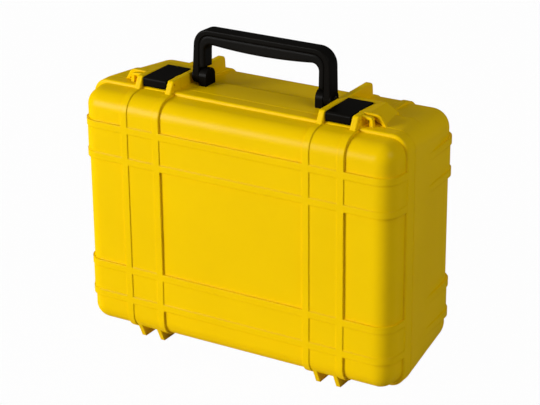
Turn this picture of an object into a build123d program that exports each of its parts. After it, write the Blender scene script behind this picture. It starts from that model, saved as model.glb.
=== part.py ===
from build123d import *
import os

os.makedirs("parts", exist_ok=True)

# Overall size in millimetres, case standing on its hinge side
case_width = 439.0
case_height = 321.6
case_depth = 187.0
foot_drop = 7.2

# Front shell
lid_depth = 54.0
rim_depth = 18.0
rim_step = 3.9
rim_side_step = 3.0
rim_edge_r = 2.8
rim_corner_r = 20.5
lid_narrowing = 3.8
lid_side_narrowing = 2.6
lid_edge_r = 22.0
panel_recess = 2.5
band_recess = 0.8
seam_gap = 0.3
seam_bevel = 0.7

# Rear shell
base_narrowing = 9.9
base_side_narrowing = 12.2
base_corner_r = 24.0
base_edge_r = 25.0
back_recess = 4.0
back_band_recess = 2.0
platform_length = 42.0
platform_slope = 14.0
platform_lead = 0.3
platform_end_r = 27.5

# Walls
wall = 3.8
rim_wall = 8.0
cavity_corner_r = 17.0

# Raised bands and their ridges
v_band_in = 100.0
v_band_w = 55.45
h_band_in = 68.5
h_band_w = 50.1
ridge_w = 9.2
ridge_start_drop = 2.4
ridge_side_drop = 7.7
ridge_end_drop = 6.2
band_start_drop = 2.6
band_side_drop = 9.4
band_end_drop = 7.6

# Seal between the shells
groove_in = 2.3
groove_w = 3.5
groove_depth = 5.0
tongue_w = 2.9
tongue_reach = 3.0
tongue_taper = 0.5
seal_thick = 2.0

# Latches
rib_rise = 13.0
rib_in = 1.2
rib_w = 8.4
latch_pin_back = 14.0
latch_pin_drop = 5.5
latch_pin_d = 3.0
latch_side_gap = 1.3
latch_plate = 5.0
latch_reach = 56.5
latch_skirt = 2.8
latch_nose = 8.5
latch_height = 10.4
latch_nose_height = 12.3
hook_gap = 0.3
hook_thick = 3.7
catch_thick = 6.0
catch_height = 6.0
catch_back = 20.0

# Guards beside the latches
guard_crown = 3.0
guard_foot = 23.0
guard_length = 58.0
guard_fall = 2.5
guard_wall = 3.8
guard_cell_depth = 27.0
arch_crown = 15.0
arch_foot = 27.7
arch_depth = 4.5
loop_width = 13.0
loop_back = 3.5
loop_depth = 4.5
loop_wall = 4.4

# Hinge
hinge_r = 4.2
hinge_gap = 0.4
hinge_pin_d = 4.0
lid_ear_w = 6.0
lid_ear_side = 1.5
foot_front_y = 15.3
base_foot_length = 92.0

# Handle
handle_half_w = 97.2
handle_top_half_w = 94.6
handle_thick = 20.5
handle_rise = 61.2
handle_corner_r = 22.0
handle_lean = 2.3
handle_pivot_back = 29.0
handle_pivot_up = 11.0
frame_thick = 7.4
eye_w = 10.0
grip_leg_w = 7.5
grip_depth = 10.6
grip_bulge = 4.5
eye_r = 10.25
handle_pin_d = 5.0
handle_pin_head_d = 8.0
handle_pin_head_t = 1.6
bracket_w = 10.2
bracket_r = 10.8

# Fits
pin_fit = 0.05
seat_fit = 0.02

# Positions that follow from the sizes
half_w = case_width / 2
half_h = case_height / 2
mid_z = foot_drop + half_h
top_z = mid_z + half_h
front_y = -case_depth / 2
back_y = case_depth / 2
seam_y = front_y + lid_depth
lid_face_y = seam_y - seam_gap
rim_front_y = seam_y - rim_depth
panel_y = front_y + panel_recess
band_y = front_y + band_recess
plain_back_y = back_y - back_recess
band_back_y = back_y - back_band_recess
v_band_out = v_band_in + v_band_w
h_band_out = h_band_in + h_band_w
rib_top = top_z + rib_rise
latch_y = seam_y - latch_pin_back
latch_z = rib_top - latch_pin_drop
rib_x0 = v_band_in + rib_in
rib_x1 = v_band_out - rib_in
latch_x0 = rib_x0 + rib_w + latch_side_gap
latch_x1 = rib_x1 - rib_w - latch_side_gap
hinge_z = hinge_r
pivot_y = seam_y + handle_pivot_back
pivot_z = top_z + handle_pivot_up
handle_top = pivot_z + handle_rise
eye_x = handle_half_w - eye_w
bracket_x1 = eye_x - 0.4
bracket_x0 = bracket_x1 - bracket_w
screw_x = (bracket_x0 + bracket_x1) / 2
screw_ys = (pivot_y - 6.8, pivot_y + 6.8)
pad_z = top_z - 10.8


def section(half_x, half_z, corner, y):
    """Rounded rectangle lying across the case at one depth."""
    plane = Plane(origin=(0, y, mid_z), x_dir=(1, 0, 0), z_dir=(0, -1, 0))
    return plane * RectangleRounded(2 * half_x, 2 * half_z, corner)


def prism(half_x, half_z, corner, y0, y1):
    """Straight rounded box between two depths."""
    return extrude(section(half_x, half_z, corner, y1), amount=y1 - y0)


def drafted(near, far, edge_r):
    """Tapered box between two sections, its far edge rounded."""
    body = loft([section(*near), section(*far)], ruled=True)
    flat = body.edges().filter_by(lambda e: e.bounding_box().size.Y < 0.01)
    far_edges = flat.filter_by(lambda e: abs(e.center().Y - far[3]) < 0.01)
    return fillet(far_edges, edge_r)


def block(x0, x1, y0, y1, z0, z1):
    """Box between two opposite corners."""
    middle = Pos((x0 + x1) / 2, (y0 + y1) / 2, (z0 + z1) / 2)
    return middle * Box(x1 - x0, y1 - y0, z1 - z0)


def side_plate(points, x0, x1):
    """Outline in the side view, given thickness across the case."""
    plane = Plane(origin=(x0, 0, 0), x_dir=(0, 1, 0), z_dir=(1, 0, 0))
    return extrude(plane * Polygon(*points, align=None), amount=x1 - x0, dir=(1, 0, 0))


def front_plate(points, y0, y1):
    """Outline in the front view, given thickness along the depth."""
    plane = Plane(origin=(0, y1, 0), x_dir=(1, 0, 0), z_dir=(0, -1, 0))
    return extrude(plane * Polygon(*points, align=None), amount=y1 - y0, dir=(0, -1, 0))


def rod(y, z, radius, x0, x1):
    """Cylinder lying across the case."""
    return Pos((x0 + x1) / 2, y, z) * Rot(0, 90, 0) * Cylinder(radius, x1 - x0)


def post(x, y, radius, z0, z1):
    """Upright cylinder."""
    return Pos(x, y, (z0 + z1) / 2) * Cylinder(radius, z1 - z0)


def both(shape):
    """The shape with its mirror image on the other side."""
    return shape + mirror(shape, about=Plane.YZ)


def flip(shape):
    """The mirror image on the other side."""
    return mirror(shape, about=Plane.YZ)


def round_x_edges(shape, radius, y, z):
    """Round the edge across the case that passes nearest one point."""
    across = shape.edges().filter_by(Axis.X)
    nearest = across.sort_by(lambda e: (e.center().Y - y) ** 2 + (e.center().Z - z) ** 2)[0]
    return fillet(nearest, radius)


def round_y_edges(shape, radius, z):
    """Round the long edges that run front to back at one height."""
    along = shape.edges().filter_by(Axis.Y)
    return fillet(along.filter_by(lambda e: abs(e.center().Z - z) < 0.01), radius)


def band_plates(form):
    """The parts of a body that lie in the raised bands."""
    far = case_width + case_height + case_depth
    upright = block(v_band_in, v_band_out, -far, far, -far, far)
    upper = block(-far, far, -far, far, mid_z + h_band_in, mid_z + h_band_out)
    lower = block(-far, far, -far, far, mid_z - h_band_out, mid_z - h_band_in)
    return form & (both(upright) + upper + lower)


def ridge_spans(start, width):
    """Where the two edge ridges of one band sit."""
    return [(start, start + ridge_w), (start + width - ridge_w, start + width)]


def ridge_plates(form):
    """The parts of a body that lie in the ridges."""
    far = case_width + case_height + case_depth
    middle = Plane(origin=(0, 0, mid_z), z_dir=(0, 0, 1))
    plates = []
    for a, b in ridge_spans(v_band_in, v_band_w):
        plate = form & block(a, b, -far, far, -far, far)
        plates.append(plate)
        plates.append(flip(plate))
    for a, b in ridge_spans(h_band_in, h_band_w):
        plate = form & block(-far, far, -far, far, mid_z + a, mid_z + b)
        plates.append(plate)
        plates.append(mirror(plate, about=middle))
    return plates


def lid_form(rise, face_y, corner):
    """Front shell body, standing a little proud of the plain wall."""
    start_y = rim_front_y + 6
    lead = 6 / (rim_front_y - panel_y)
    near_x = rim_side_step - rise - lid_side_narrowing * lead
    near_z = rim_step - rise - lid_narrowing * lead
    far_x = rim_side_step - rise + lid_side_narrowing
    far_z = rim_step - rise + lid_narrowing
    return drafted(
        (half_w - near_x, half_h - near_z, corner, start_y),
        (half_w - far_x, half_h - far_z, corner, face_y),
        lid_edge_r + rise,
    )


def base_form(start_drop, side_drop, end_drop, face_y, corner, end_corner, edge_r):
    """Rear shell body between the seam and one back plane."""
    return drafted(
        (half_w - start_drop, half_h - start_drop - platform_lead, corner, seam_y),
        (half_w - side_drop, half_h - end_drop, end_corner, face_y),
        edge_r,
    )


def lid_cavity():
    """Room inside the front shell."""
    mouth_x = max(rim_side_step + wall, rim_wall)
    mouth_z = max(rim_step + wall, rim_wall)
    end_x = mouth_x + lid_side_narrowing
    end_z = mouth_z + lid_narrowing
    tapered = drafted(
        (half_w - mouth_x, half_h - mouth_z, cavity_corner_r, rim_front_y),
        (half_w - end_x, half_h - end_z, cavity_corner_r, panel_y + wall),
        lid_edge_r - wall,
    )
    straight = prism(half_w - rim_wall, half_h - rim_wall, cavity_corner_r, rim_front_y, seam_y + 1)
    return tapered + straight


def base_cavity():
    """Room inside the rear shell."""
    end_x = base_side_narrowing + wall
    end_z = base_narrowing + wall
    return drafted(
        (half_w - rim_wall, half_h - rim_wall, cavity_corner_r, seam_y),
        (half_w - end_x, half_h - end_z, base_corner_r - wall, plain_back_y - wall),
        base_edge_r - wall,
    )


def ring(outer, inner, y0, y1):
    """Straight rounded frame between two insets from the rim."""
    big = prism(half_w - outer, half_h - outer, rim_corner_r - outer, y0, y1)
    small = prism(half_w - inner, half_h - inner, rim_corner_r - inner, y0 - 1, y1 + 1)
    return big - small


def lid_lug(x0, x1):
    """Lug on the front shell that holds one end of a latch pin."""
    points = [
        (seam_y - 16.0, rib_top),
        (seam_y - 24.0, top_z - 2.0),
        (seam_y - 24.0, top_z - 7.0),
        (lid_face_y, top_z - 7.0),
        (lid_face_y, rib_top),
    ]
    lug = side_plate(points, x0, x1)
    lug = round_x_edges(lug, 3.5, seam_y - 16.0, rib_top)
    return round_y_edges(lug, 1.6, rib_top)


def lid_loop():
    """Small padlock loop beside the outer lug."""
    x0 = rib_x1 - 2.0
    x1 = v_band_out + loop_width
    y1 = lid_face_y - loop_back
    y0 = y1 - loop_depth
    outline = [
        (x0, top_z - 2.0),
        (x0, rib_top - 0.3),
        (x1 - 2.5, rib_top - 1.2),
        (x1, rib_top - 3.6),
        (x1 + 0.6, top_z - 2.0),
    ]
    loop = front_plate(outline, y0, y1)
    hole = block(rib_x1, x1 - loop_wall, y0 - 1, y1 + 1, top_z, rib_top - 4.6)
    return loop - hole


def lid_ear(x0, x1):
    """Foot of the front shell, running back to a hinge knuckle."""
    tip_y = front_y + foot_front_y
    points = [
        (tip_y, 0),
        (tip_y - 12.0, 26.0),
        (tip_y + 12.0, 26.0),
        (lid_face_y - 2.0, foot_drop + 3.0),
        (lid_face_y, foot_drop + 1.0),
        (lid_face_y, 1.5),
        (seam_y, hinge_z),
        (seam_y, 0),
    ]
    return side_plate(points, x0, x1) + rod(seam_y, hinge_z, hinge_r, x0, x1)


def lid_ear_spans():
    """Where the two ears of one hinge sit."""
    inner = v_band_in + ridge_w + lid_ear_side
    outer = v_band_out - ridge_w - lid_ear_side
    return [(inner, inner + lid_ear_w), (outer - lid_ear_w, outer)]


def foot_spans():
    """Where the two feet of one vertical band sit."""
    return ridge_spans(v_band_in, v_band_w)


def rib_spans():
    """Where the two ribs beside one latch sit."""
    return [(rib_x0, rib_x0 + rib_w), (rib_x1 - rib_w, rib_x1)]


def rim_band():
    """Rim of the front shell, rounded in front and bevelled at the seam."""
    rim = prism(half_w, half_h, rim_corner_r, rim_front_y, lid_face_y)
    flat = rim.edges().filter_by(lambda e: e.bounding_box().size.Y < 0.01)
    rim = fillet(flat.filter_by(lambda e: abs(e.center().Y - rim_front_y) < 0.01), rim_edge_r)
    flat = rim.edges().filter_by(lambda e: e.bounding_box().size.Y < 0.01)
    return chamfer(flat.filter_by(lambda e: abs(e.center().Y - lid_face_y) < 0.01), seam_bevel)


def make_lid():
    """Front shell with bands, rim, latch lugs and hinge ears."""
    lid = lid_form(0, panel_y, rim_corner_r)
    lid += band_plates(lid_form(panel_recess - band_recess, band_y, rim_corner_r + 1.7))
    ridges = ridge_plates(lid_form(panel_recess, front_y, rim_corner_r + 2.5))
    lid = lid.fuse(*ridges) + rim_band()
    for x0, x1 in rib_spans():
        lid += both(lid_lug(x0, x1))
    lid += both(lid_loop())
    for x0, x1 in lid_ear_spans():
        lid += both(lid_ear(x0, x1))
    lid -= lid_cavity()
    lid -= ring(groove_in, groove_in + groove_w, lid_face_y - groove_depth, lid_face_y + 1)
    for x0, x1 in foot_spans():
        lid -= both(rod(seam_y, hinge_z, hinge_r + hinge_gap, x0 - 0.5, x1 + 0.5))
    lid -= both(rod(latch_y, latch_z, latch_pin_d / 2 + seat_fit, rib_x0 - 1, rib_x1 + 1))
    bore_r = hinge_pin_d / 2 + pin_fit
    x0 = v_band_in + ridge_w
    x1 = v_band_out - ridge_w
    lid -= both(rod(seam_y, hinge_z, bore_r, x0, x1))
    return lid


def make_seal():
    """Rubber seal lying in the groove of the front shell."""
    bottom = lid_face_y - groove_depth
    return ring(groove_in + 0.1, groove_in + groove_w - 0.1, bottom, bottom + seal_thick)


def tongue():
    """Tapered lip that enters the seal groove."""
    root = groove_in + (groove_w - tongue_w) / 2
    y1 = seam_y + 1
    y0 = seam_y - tongue_reach
    t = tongue_taper

    def wedge(inset_root, inset_tip):
        a = section(half_w - inset_root, half_h - inset_root, rim_corner_r - inset_root, y1)
        b = section(half_w - inset_tip, half_h - inset_tip, rim_corner_r - inset_tip, y0)
        return loft([a, b], ruled=True)

    return wedge(root, root + t) - wedge(root + tongue_w, root + tongue_w - t)


def platform():
    """Level shelf at rim height above and below, sloping away at its rear."""
    reach = plain_back_y - seam_y
    side_slope = base_side_narrowing / reach
    y1 = seam_y + platform_length
    y2 = y1 + platform_slope
    skin = 0.04
    side_1 = half_w - side_slope * platform_length - skin
    side_2 = half_w - side_slope * (platform_length + platform_slope) - skin
    drop_2 = base_narrowing / reach * (platform_length + platform_slope) + platform_lead
    start = section(half_w - skin, half_h, rim_corner_r, seam_y)
    middle = section(side_1, half_h, platform_end_r, y1)
    end = section(side_2, half_h - drop_2, platform_end_r, y2)
    return loft([start, middle], ruled=True) + loft([middle, end], ruled=True)


def seam_edge():
    """Bevel cut from the front edge of the rear shell."""
    y1 = seam_y + seam_bevel
    keep = loft(
        [
            section(half_w - seam_bevel, half_h - seam_bevel, rim_corner_r - seam_bevel, seam_y),
            section(half_w, half_h, rim_corner_r, y1),
        ],
        ruled=True,
    )
    return prism(half_w + 5, half_h + 5, rim_corner_r + 5, seam_y, y1) - keep


def rib(x0, x1, end_y):
    """Upright rib on the top of the rear shell."""
    points = [
        (seam_y, top_z - 9.0),
        (seam_y, rib_top),
        (end_y - 1.5, rib_top),
        (end_y, top_z - 4.0),
        (end_y, top_z - 14.0),
    ]
    body = side_plate(points, x0, x1)
    body = round_x_edges(body, 6.0, end_y - 1.5, rib_top)
    return round_y_edges(body, 1.6, rib_top)


def guard_section(crown_x, foot_x, top, y):
    """Outline of the latch block at one depth."""
    x0 = rib_x0 + rib_w - 1
    points = [(x0, top_z - 12.0), (x0, top), (crown_x, top), (foot_x, top_z), (foot_x + 2.0, top_z - 12.0)]
    plane = Plane(origin=(0, y, 0), x_dir=(1, 0, 0), z_dir=(0, -1, 0))
    return plane * Polygon(*points, align=None)


def guard():
    """Raised block round one latch, with a strap and a hollow cell facing forward."""
    y1 = seam_y + guard_length
    crown = v_band_out + guard_crown
    foot = v_band_out + guard_foot
    body = loft(
        [
            guard_section(crown, foot, rib_top, seam_y),
            guard_section(crown - 3.0, foot - 10.0, rib_top - guard_fall, y1),
        ],
        ruled=True,
    )
    rear_top = rib_top - guard_fall
    rear = [
        (y1 - 8.0, rear_top + 2),
        (y1 + 1, rear_top + 2),
        (y1 + 1, top_z - 6.0),
        (y1 - 1, top_z - 6.0),
        (y1 - 8.0, rear_top),
    ]
    body -= side_plate(rear, rib_x0, foot + 4)
    x1 = v_band_out + arch_crown
    x2 = v_band_out + arch_foot
    x0 = rib_x1 - 2
    strap = [
        (x0, top_z - 2),
        (x0, rib_top + 0.4),
        (x1, rib_top + 0.4),
        (x1 + 4.3, rib_top - 1.6),
        (x2, top_z - 2),
    ]
    opening = [
        (v_band_out + 1.5, top_z + 0.8),
        (v_band_out + 1.5, rib_top - guard_wall),
        (x1 - 0.5, rib_top - guard_wall),
        (x2 - 6.6, top_z + 0.8),
    ]
    body += front_plate(strap, seam_y, seam_y + arch_depth)
    body -= front_plate(opening, seam_y - 1, seam_y + arch_depth)
    lean = (foot - crown) / rib_rise
    thick = guard_wall * (1 + lean ** 2) ** 0.5
    cell = [
        (v_band_out + 1.5, top_z + 0.8),
        (v_band_out + 1.5, rib_top - guard_wall),
        (crown - thick + lean * guard_wall, rib_top - guard_wall),
        (foot - thick - lean * 0.8, top_z + 0.8),
    ]
    return body - front_plate(cell, seam_y - 1, seam_y + guard_cell_depth)


def base_foot(x0, x1):
    """Foot of the rear shell with its hinge knuckle."""
    end_y = seam_y + base_foot_length
    points = [
        (seam_y, 0),
        (end_y, 0),
        (end_y + 9.0, 18.0),
        (seam_y, 11.0),
    ]
    foot = side_plate(points, x0, x1)
    foot = round_x_edges(foot, 4.0, end_y, 0)
    return foot + rod(seam_y, hinge_z, hinge_r, x0, x1)


def catch():
    """Bar on the platform that the latch hook grips."""
    x0 = latch_x0 + latch_skirt + 1.0
    x1 = latch_x1 - latch_skirt - 1.0
    y0 = seam_y + catch_back
    bar = block(x0, x1, y0, y0 + catch_thick, top_z - 1.0, top_z + catch_height)
    return round_x_edges(bar, 1.5, y0, top_z + catch_height)


def rear_shell():
    """Outer body of the rear shell with bands, ridges and platform."""
    body = base_form(
        0, base_side_narrowing, base_narrowing, plain_back_y, rim_corner_r, base_corner_r, base_edge_r
    )
    bands = base_form(
        band_start_drop,
        band_side_drop,
        band_end_drop,
        band_back_y,
        rim_corner_r,
        base_corner_r + 2.0,
        base_edge_r + 2.0,
    )
    ridges = base_form(
        ridge_start_drop,
        ridge_side_drop,
        ridge_end_drop,
        back_y,
        rim_corner_r,
        base_corner_r + 3.5,
        base_edge_r + 3.5,
    )
    body += band_plates(bands)
    body = body.fuse(*ridge_plates(ridges))
    return body + platform() - seam_edge()


def make_base():
    """Rear shell with platform, bands, ribs, latch guards, feet and bracket pad."""
    base = rear_shell()
    inner, outer = rib_spans()
    pocket = block(
        inner[1],
        outer[0],
        seam_y - 1,
        seam_y + latch_reach - latch_pin_back - 2.0,
        top_z,
        rib_top + 10,
    )
    base += both(guard() - pocket + catch())
    base += both(rib(inner[0], inner[1], seam_y + 104.0))
    for x0, x1 in foot_spans():
        base += both(base_foot(x0, x1))
    base -= base_cavity()
    base += both(bracket_pad())
    base += tongue()
    for x0, x1 in lid_ear_spans():
        base -= both(rod(seam_y, hinge_z, hinge_r + hinge_gap, x0 - 0.5, x1 + 0.5))
    pin_r = hinge_pin_d / 2 + seat_fit
    base -= both(rod(seam_y, hinge_z, pin_r, v_band_in + 1, v_band_out + 1))
    for y in screw_ys:
        base -= both(post(screw_x, y, 2.15, pad_z - 1, top_z + 1))
    return base


def bracket_pad():
    """Flat pad under the platform for the bracket screws."""
    return block(screw_x - 7.0, screw_x + 7.0, pivot_y - 14.0, pivot_y + 14.0, pad_z, top_z - 6.0)


def make_hinge_pin():
    """Steel pin through one hinge."""
    return rod(seam_y, hinge_z, hinge_pin_d / 2, v_band_in + 1.2, v_band_out - 1.0)


def make_latch_pin():
    """Steel pin that carries one latch."""
    return rod(latch_y, latch_z, latch_pin_d / 2, rib_x0 + 3.0, rib_x1 - 3.0)


def make_latch():
    """Moulded latch lever with side skirts and a hook near its free end."""
    y0 = latch_y - 4.0
    y1 = y0 + latch_reach
    under = rib_top - latch_plate
    low = rib_top - latch_height
    plate = side_plate([(y0, under), (y0, rib_top), (y1, rib_top), (y1, under)], latch_x0, latch_x1)
    nose_low = rib_top - latch_nose_height
    nose = block(latch_x0, latch_x1, y0, y0 + latch_nose, nose_low, rib_top)
    nose = round_x_edges(nose, 2.0, y0, nose_low)
    lever = plate + nose
    skirt = [(y0 + 4.0, low), (y0 + 4.0, rib_top), (y1 - 1.5, rib_top), (y1 - 1.5, under), (y1 - 8.0, low)]
    lever += side_plate(skirt, latch_x0, latch_x0 + latch_skirt)
    lever += side_plate(skirt, latch_x1 - latch_skirt, latch_x1)
    lever = round_x_edges(lever, 3.5, y0, rib_top)
    lever = round_x_edges(lever, 2.0, y1, rib_top)
    lever = round_y_edges(lever, 1.0, rib_top)
    hook_y = seam_y + catch_back + catch_thick + hook_gap
    hook_x0 = latch_x0 + latch_skirt + 1.5
    hook_x1 = latch_x1 - latch_skirt - 1.5
    hook = [
        (hook_y, top_z + 1.5),
        (hook_y, under + 1),
        (hook_y + hook_thick, under + 1),
        (hook_y + hook_thick, top_z + 3.0),
        (hook_y + hook_thick - 1.5, top_z + 1.5),
    ]
    lever += side_plate(hook, hook_x0, hook_x1)
    return lever - rod(latch_y, latch_z, latch_pin_d / 2 + pin_fit, latch_x0 - 1, latch_x1 + 1)


def u_outline(foot_x, top_x, top, corner, bottom):
    """Upside-down U outline used for the handle pieces."""
    line = Polyline((foot_x, bottom), (top_x, top), (-top_x, top), (-foot_x, bottom), (foot_x, bottom))
    face = make_face(line)
    upper = face.vertices().filter_by(lambda v: abs(v.Y - top) < 0.01)
    return fillet(upper, corner)


def handle_layer(face):
    """Give a handle outline its thickness."""
    plane = Plane(origin=(0, pivot_y + handle_thick / 2, 0), x_dir=(1, 0, 0), z_dir=(0, -1, 0))
    return extrude(plane * face, amount=handle_thick)


def leaned(shape):
    """Turn a handle piece about its pivots to its rest angle."""
    return shape.rotate(Axis((0, pivot_y, pivot_z), (1, 0, 0)), -handle_lean)


def make_handle_frame():
    """Outer bow of the handle with its pivot eyes."""
    under = handle_top - frame_thick
    outer = u_outline(handle_half_w, handle_top_half_w, handle_top, handle_corner_r, pivot_z)
    inner = u_outline(eye_x, eye_x, under, handle_corner_r - frame_thick, pivot_z)
    bow = handle_layer(outer) - handle_layer(inner)
    bow = chamfer(bow.edges().filter_by(lambda e: on_face(e) and in_window(e, under)), 1.1)
    bow = fillet(bow.edges().filter_by(lambda e: on_face(e) and not in_window(e, under + 1.5)), 2.4)
    bow += both(rod(pivot_y, pivot_z, eye_r, eye_x, handle_half_w))
    bore = rod(pivot_y, pivot_z, handle_pin_d / 2 + pin_fit, eye_x - 1, handle_half_w + 1)
    return leaned(bow - both(bore))


def on_face(edge):
    """Whether an edge lies on the front or rear face of the handle."""
    flat = edge.bounding_box().size.Y < 0.01
    outside = abs(abs(edge.center().Y - pivot_y) - handle_thick / 2) < 0.01
    return flat and outside and edge.center().Z > pivot_z + 0.01


def in_window(edge, top):
    """Whether an edge lies within the opening of the outer bow."""
    return abs(edge.center().X) < eye_x + 1.2 and edge.center().Z < top + 0.01


def make_handle_grip():
    """Inner grip of the handle with a full, bowed underside."""
    inner_x = eye_x - grip_leg_w
    grip_top = handle_top - frame_thick
    leg_end = pivot_z + 12.6
    outer = u_outline(eye_x, eye_x, grip_top, handle_corner_r - frame_thick, leg_end)
    under = grip_top - grip_depth
    arc = ThreePointArc((inner_x, under), (0, under - grip_bulge), (-inner_x, under))
    sides = Polyline((-inner_x, under), (-inner_x, leg_end - 1), (inner_x, leg_end - 1), (inner_x, under))
    window = make_face([arc, sides])
    corners = window.vertices().filter_by(lambda v: v.Y > leg_end)
    window = fillet(corners, 9.0)
    grip = handle_layer(outer) - handle_layer(window)

    def on_joint(edge):
        side = abs(abs(edge.center().X) - eye_x) < 0.01
        crown = edge.center().Z > under + 6.0 and abs(edge.center().X) < eye_x
        return on_face(edge) and edge.center().Z > leg_end + 0.01 and (side or crown)

    def on_opening(edge):
        return on_face(edge) and edge.center().Z > leg_end + 0.01 and not on_joint(edge)

    grip = chamfer(grip.edges().filter_by(on_joint), 1.1)
    return leaned(fillet(grip.edges().filter_by(on_opening), 3.0))


def make_bracket():
    """Bracket that carries one end of the handle."""
    body = block(bracket_x0, bracket_x1, pivot_y - bracket_r, pivot_y + bracket_r, top_z, pivot_z)
    body += rod(pivot_y, pivot_z, bracket_r, bracket_x0, bracket_x1)
    body -= rod(pivot_y, pivot_z, handle_pin_d / 2 + seat_fit, bracket_x0 + 1.4, bracket_x1 + 1)
    for y in screw_ys:
        body -= post(screw_x, y, 2.0 + seat_fit, top_z - 1, top_z + 9.3)
    return body


def make_handle_pin():
    """Headed steel pin of the handle."""
    head_x = handle_half_w + 0.3
    shank = rod(pivot_y, pivot_z, handle_pin_d / 2, bracket_x0 + 1.5, head_x + 0.5)
    head = rod(pivot_y, pivot_z, handle_pin_head_d / 2, head_x, head_x + handle_pin_head_t)
    return shank + head


def make_screws():
    """Screws that hold the brackets from inside the case."""
    screws = []
    for x in (-screw_x, screw_x):
        for y in screw_ys:
            shank = post(x, y, 2.0, pad_z - 2.0, top_z + 9.0)
            head = post(x, y, 4.0, pad_z - 4.0, pad_z - 1.2)
            slot = block(x - 4.5, x + 4.5, y - 0.5, y + 0.5, pad_z - 5.0, pad_z - 3.0)
            screws.append(shank + head - slot)
    return Compound(children=screws)


def make_washers():
    """Sealing washers under the screw heads."""
    washers = []
    for x in (-screw_x, screw_x):
        for y in screw_ys:
            disc = post(x, y, 4.6, pad_z - 1.2, pad_z)
            washers.append(disc - post(x, y, 2.1, pad_z - 2.0, pad_z + 1))
    return Compound(children=washers)


def save(name, shape):
    """Write one piece to its own file."""
    export_step(shape, f"parts/{name}.step")


def main():
    """Build every piece and write it out."""
    save("base_shell", make_base())
    save("lid_shell", make_lid())
    save("lid_seal", make_seal())
    latch = make_latch()
    save("right_latch", latch)
    save("left_latch", flip(latch))
    latch_pin = make_latch_pin()
    save("right_latch_pin", latch_pin)
    save("left_latch_pin", flip(latch_pin))
    hinge_pin = make_hinge_pin()
    save("right_hinge_pin", hinge_pin)
    save("left_hinge_pin", flip(hinge_pin))
    save("handle_frame", make_handle_frame())
    save("handle_grip", make_handle_grip())
    bracket = make_bracket()
    save("right_handle_bracket", bracket)
    save("left_handle_bracket", flip(bracket))
    handle_pin = make_handle_pin()
    save("right_handle_pin", handle_pin)
    save("left_handle_pin", flip(handle_pin))
    save("bracket_screws", make_screws())
    save("bracket_seals", make_washers())


main()
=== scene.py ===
import math

import bmesh
import bpy
from mathutils import Matrix, Vector

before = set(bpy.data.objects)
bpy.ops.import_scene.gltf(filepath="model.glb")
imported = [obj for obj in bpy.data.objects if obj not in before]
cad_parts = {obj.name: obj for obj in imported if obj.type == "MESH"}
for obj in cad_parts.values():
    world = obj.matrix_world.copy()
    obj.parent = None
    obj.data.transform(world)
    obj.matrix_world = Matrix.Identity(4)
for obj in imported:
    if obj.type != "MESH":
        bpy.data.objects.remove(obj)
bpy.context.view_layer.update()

scene = bpy.context.scene
scene.view_settings.view_transform = "Standard"

WHITE = (1, 1, 1, 1)
COAT_IOR = 2.2  # dense, so that the sheen hardly grows at low angles
GRAIN_SCALE = 1400.0
GRAIN_DEPTH = 0.0002
LINE_SCALE = 900.0
LINE_DEPTH = 0.0001
BEVEL_SAMPLES = 6
FLOOR_HALF = 12.0
FLOOR_Z = -0.0005
FLOOR_CLEAR = 0.98  # share of the floor that the camera looks through
DOME_RADIUS = 20.0
AMBIENT = 0.13


# Node helpers

def new_material(name):
    """A node material with a Principled shader, ready to be built on."""
    material = bpy.data.materials.new(name)
    material.use_nodes = True
    tree = material.node_tree
    tree.nodes.clear()
    out = tree.nodes.new("ShaderNodeOutputMaterial")
    shader = tree.nodes.new("ShaderNodeBsdfPrincipled")
    tree.links.new(shader.outputs["BSDF"], out.inputs["Surface"])
    return material, tree, shader


def noise(tree, scale, detail=2.0, rough=0.5, stretch=None):
    """Noise in object space, stretched along an axis if asked."""
    place = tree.nodes.new("ShaderNodeTexCoord").outputs["Object"]
    node = tree.nodes.new("ShaderNodeTexNoise")
    node.inputs["Scale"].default_value = scale
    node.inputs["Detail"].default_value = detail
    node.inputs["Roughness"].default_value = rough
    if stretch:
        turn = tree.nodes.new("ShaderNodeMapping")
        turn.inputs["Scale"].default_value = stretch
        tree.links.new(place, turn.inputs["Vector"])
        place = turn.outputs["Vector"]
    tree.links.new(place, node.inputs["Vector"])
    return node.outputs["Fac"]


def spread(tree, value, low=0.0, high=1.0):
    """Map the middle of a noise to a range, clamped."""
    node = tree.nodes.new("ShaderNodeMapRange")
    node.inputs["From Min"].default_value = 0.3
    node.inputs["From Max"].default_value = 0.7
    node.inputs["To Min"].default_value = low
    node.inputs["To Max"].default_value = high
    tree.links.new(value, node.inputs["Value"])
    return node.outputs["Result"]


def blend_colours(tree, factor, dark, light):
    """Mix two colours by a factor."""
    node = tree.nodes.new("ShaderNodeMix")
    node.data_type = "RGBA"
    node.inputs["A"].default_value = (*dark, 1)
    node.inputs["B"].default_value = (*light, 1)
    tree.links.new(factor, node.inputs["Factor"])
    return node.outputs["Result"]


def bump(tree, shader, height, strength, depth, edge):
    """Surface grain over edges softened by a bevel radius."""
    soft = tree.nodes.new("ShaderNodeBevel")
    soft.samples = BEVEL_SAMPLES
    soft.inputs["Radius"].default_value = edge
    node = tree.nodes.new("ShaderNodeBump")
    node.inputs["Strength"].default_value = strength
    node.inputs["Distance"].default_value = depth
    tree.links.new(height, node.inputs["Height"])
    tree.links.new(soft.outputs["Normal"], node.inputs["Normal"])
    for socket in ("Normal", "Coat Normal"):
        tree.links.new(node.outputs["Normal"], shader.inputs[socket])


def choose(tree, factor, first, second):
    """Mix two shaders by a factor."""
    node = tree.nodes.new("ShaderNodeMixShader")
    tree.links.new(factor, node.inputs["Fac"])
    tree.links.new(first, node.inputs[1])
    tree.links.new(second, node.inputs[2])
    return node.outputs["Shader"]


def larger(tree, first, second):
    """The larger of two values."""
    node = tree.nodes.new("ShaderNodeMath")
    node.operation = "MAXIMUM"
    tree.links.new(first, node.inputs[0])
    tree.links.new(second, node.inputs[1])
    return node.outputs[0]


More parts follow.
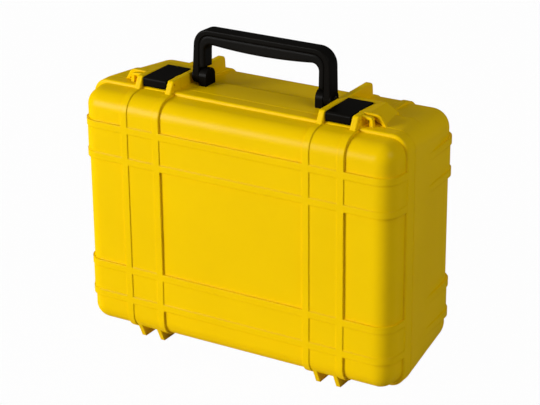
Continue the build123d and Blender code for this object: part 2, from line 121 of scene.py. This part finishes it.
def white_glow(tree):
    """Emission of plain white."""
    node = tree.nodes.new("ShaderNodeEmission")
    node.inputs["Color"].default_value = WHITE
    node.inputs["Strength"].default_value = 1.0
    return node.outputs["Emission"]


def mirrored_or_refracted(tree, rays):
    """Factor that is 1 for what metal mirrors and glass lets through."""
    return larger(tree, rays.outputs["Is Glossy Ray"], rays.outputs["Is Transmission Ray"])


def set_surface(tree, surface):
    """Send a shader to the material's output."""
    out = next(n for n in tree.nodes if n.type == "OUTPUT_MATERIAL")
    tree.links.new(surface, out.inputs["Surface"])


# Materials

def moulded(name, dark, light, rough, grain, edge, gloss):
    """Moulded plastic with fine grain, faint mottling and softened edges.

    Its sheen is a thin coat, so the deep colour stays deep at low angles.
    """
    material, tree, shader = new_material(name)
    mottle = spread(tree, noise(tree, 9.0, 3.0))
    tree.links.new(blend_colours(tree, mottle, dark, light), shader.inputs["Base Color"])
    patches = spread(tree, noise(tree, 38.0, 4.0), *rough)
    tree.links.new(patches, shader.inputs["Roughness"])
    shader.inputs["Specular IOR Level"].default_value = 0.0
    shader.inputs["Coat Weight"].default_value = gloss
    shader.inputs["Coat IOR"].default_value = COAT_IOR
    shader.inputs["Coat Roughness"].default_value = sum(rough) / 2
    bump(tree, shader, noise(tree, GRAIN_SCALE), grain, GRAIN_DEPTH, edge)
    return material


def steel(name, base, rough):
    """Drawn stainless steel with fine lines along its length."""
    material, tree, shader = new_material(name)
    lines = noise(tree, LINE_SCALE, 3.0, 0.6, (0.05, 1.0, 1.0))
    dull = tuple(c * 0.8 for c in base)
    tone = blend_colours(tree, spread(tree, lines), dull, base)
    tree.links.new(tone, shader.inputs["Base Color"])
    tree.links.new(spread(tree, lines, rough, rough + 0.12), shader.inputs["Roughness"])
    shader.inputs["Metallic"].default_value = 1.0
    bump(tree, shader, lines, 0.2, LINE_DEPTH, edge=0.0003)
    return material


yellow = (0.92, 0.59, 0.0)
bright_yellow = (0.96, 0.62, 0.0)
black = (0.0026, 0.0022, 0.0016)
worn_black = (0.0055, 0.0047, 0.0036)
dark_grey = (0.006, 0.006, 0.006)
grey = (0.010, 0.010, 0.010)

shell = moulded("shell_plastic", yellow, bright_yellow,
                rough=(0.22, 0.30), grain=0.22, edge=0.0020, gloss=0.036)
handle = moulded("handle_plastic", black, worn_black,
                 rough=(0.26, 0.36), grain=0.4, edge=0.0009, gloss=0.018)
grip = moulded("grip_plastic", black, worn_black,
               rough=(0.26, 0.38), grain=0.4, edge=0.0035, gloss=0.026)
latch = moulded("latch_plastic", black, worn_black,
                rough=(0.28, 0.38), grain=0.4, edge=0.0006, gloss=0.017)
rubber = moulded("seal_rubber", dark_grey, grey,
                 rough=(0.70, 0.85), grain=0.5, edge=0.0004, gloss=0.03)
pin_steel = steel("pin_steel", (0.56, 0.56, 0.57), 0.26)
black_steel = steel("black_steel", (0.02, 0.02, 0.021), 0.34)

finishes = {
    "base_shell": shell,
    "lid_shell": shell,
    "lid_seal": rubber,
    "left_latch": latch,
    "right_latch": latch,
    "left_latch_pin": pin_steel,
    "right_latch_pin": pin_steel,
    "left_hinge_pin": pin_steel,
    "right_hinge_pin": pin_steel,
    "handle_frame": handle,
    "handle_grip": grip,
    "left_handle_bracket": handle,
    "right_handle_bracket": handle,
    "left_handle_pin": black_steel,
    "right_handle_pin": black_steel,
    "bracket_screws": pin_steel,
    "bracket_seals": rubber,
}

for name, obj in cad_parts.items():
    obj.data.materials.clear()
    obj.data.materials.append(finishes[name])


# Floor, backdrop, surroundings, lights and camera

def place_object(name, data):
    """Put new data into the scene as an object."""
    obj = bpy.data.objects.new(name, data)
    scene.collection.objects.link(obj)
    return obj


def floor():
    """Pale floor paper that the camera sees as white with a faint shadow.

    The camera looks through most of it at the backdrop, so the front shell
    still shows when it swings below the feet.
    """
    mesh = bpy.data.meshes.new("floor")
    signs = [(-1, -1), (1, -1), (1, 1), (-1, 1)]
    corners = [(x * FLOOR_HALF, y * FLOOR_HALF, FLOOR_Z) for x, y in signs]
    mesh.from_pydata(corners, [], [(0, 1, 2, 3)])
    obj = place_object("floor", mesh)
    material, tree, shader = new_material("floor_paper")
    fibre = spread(tree, noise(tree, 60.0, 3.0), 0.52, 0.56)
    tree.links.new(fibre, shader.inputs["Base Color"])
    shader.inputs["Roughness"].default_value = 0.9
    shader.inputs["Specular IOR Level"].default_value = 0.1
    rays = tree.nodes.new("ShaderNodeLightPath")
    clear = tree.nodes.new("ShaderNodeBsdfTransparent").outputs["BSDF"]
    seen = tree.nodes.new("ShaderNodeMath")
    seen.operation = "MULTIPLY"
    seen.inputs[1].default_value = FLOOR_CLEAR
    tree.links.new(rays.outputs["Is Camera Ray"], seen.inputs[0])
    through = larger(tree, seen.outputs[0], rays.outputs["Is Shadow Ray"])
    paper = choose(tree, through, shader.outputs["BSDF"], clear)
    set_surface(tree, choose(tree, mirrored_or_refracted(tree, rays), paper, white_glow(tree)))
    obj.data.materials.append(material)


def backdrop():
    """White dome round the stage that only the camera sees."""
    mesh = bpy.data.meshes.new("backdrop")
    dome = bmesh.new()
    bmesh.ops.create_uvsphere(dome, u_segments=48, v_segments=24, radius=DOME_RADIUS)
    dome.to_mesh(mesh)
    dome.free()
    obj = place_object("backdrop", mesh)
    obj.visible_diffuse = False
    obj.visible_glossy = False
    obj.visible_shadow = False
    material, tree, shader = new_material("backdrop_paper")
    fibre = spread(tree, noise(tree, 60.0, 3.0), 0.80, 0.84)
    tree.links.new(fibre, shader.inputs["Base Color"])
    seen = tree.nodes.new("ShaderNodeLightPath").outputs["Is Camera Ray"]
    set_surface(tree, choose(tree, seen, shader.outputs["BSDF"], white_glow(tree)))
    obj.data.materials.append(material)


def surroundings():
    """White to the camera and in reflections, soft fill on the object."""
    sky = bpy.data.worlds.new("studio")
    scene.world = sky
    sky.use_nodes = True
    tree = sky.node_tree
    tree.nodes.clear()
    out = tree.nodes.new("ShaderNodeOutputWorld")
    rays = tree.nodes.new("ShaderNodeLightPath")

    def plain(strength):
        node = tree.nodes.new("ShaderNodeBackground")
        node.inputs["Strength"].default_value = strength
        return node.outputs["Background"]

    fill = choose(tree, rays.outputs["Is Camera Ray"], plain(AMBIENT), plain(1.0))
    whole = choose(tree, mirrored_or_refracted(tree, rays), fill, plain(1.0))
    tree.links.new(whole, out.inputs["Surface"])


def area_light(name, place, aim, size, power, mirrored=True):
    """Soft rectangular light aimed at a point, seen in reflections or not."""
    data = bpy.data.lights.new(name, "AREA")
    data.shape = "RECTANGLE"
    data.size, data.size_y = size
    data.energy = power
    obj = place_object(name, data)
    obj.visible_glossy = mirrored
    way = Vector(aim) - Vector(place)
    obj.location = place
    obj.rotation_euler = way.to_track_quat("-Z", "Y").to_euler()


def camera(place, azimuth, tilt, roll, lens):
    """Camera at a place, turned by angles in degrees."""
    azimuth, tilt, roll = (math.radians(angle) for angle in (azimuth, tilt, roll))
    level = math.cos(tilt)
    forward = Vector((-math.sin(azimuth) * level, math.cos(azimuth) * level, -math.sin(tilt)))
    right = Vector((math.cos(azimuth), math.sin(azimuth), 0))
    up = right.cross(forward)
    right_rolled = math.cos(roll) * right + math.sin(roll) * up
    up_rolled = math.cos(roll) * up - math.sin(roll) * right
    data = bpy.data.cameras.new("camera")
    data.sensor_width = 36.0
    data.lens = lens
    data.clip_start = 0.05
    data.clip_end = 60.0
    obj = place_object("camera", data)
    turn = Matrix((right_rolled, up_rolled, -forward)).transposed().to_4x4()
    obj.matrix_world = Matrix.Translation(place) @ turn
    scene.camera = obj


floor()
backdrop()
surroundings()
area_light("key", (-3.68, -4.54, 1.52), (0, 0, 0.17), (2.4, 2.4), 340.0)
area_light("top", (0.2, 0.2, 2.6), (0, 0, 0.2), (1.8, 1.8), 1.5, mirrored=False)
area_light("side", (2.3, -0.3, 1.9), (0, 0, 0.25), (1.4, 1.4), 21.0)
area_light("back", (-2.3, 3.0, 0.36), (0, 0, 0.17), (1.2, 0.6), 33.0, mirrored=False)
camera((1.14861, -1.90362, 1.09822), azimuth=31.0967, tilt=22.3472, roll=-0.5452, lens=129.153)
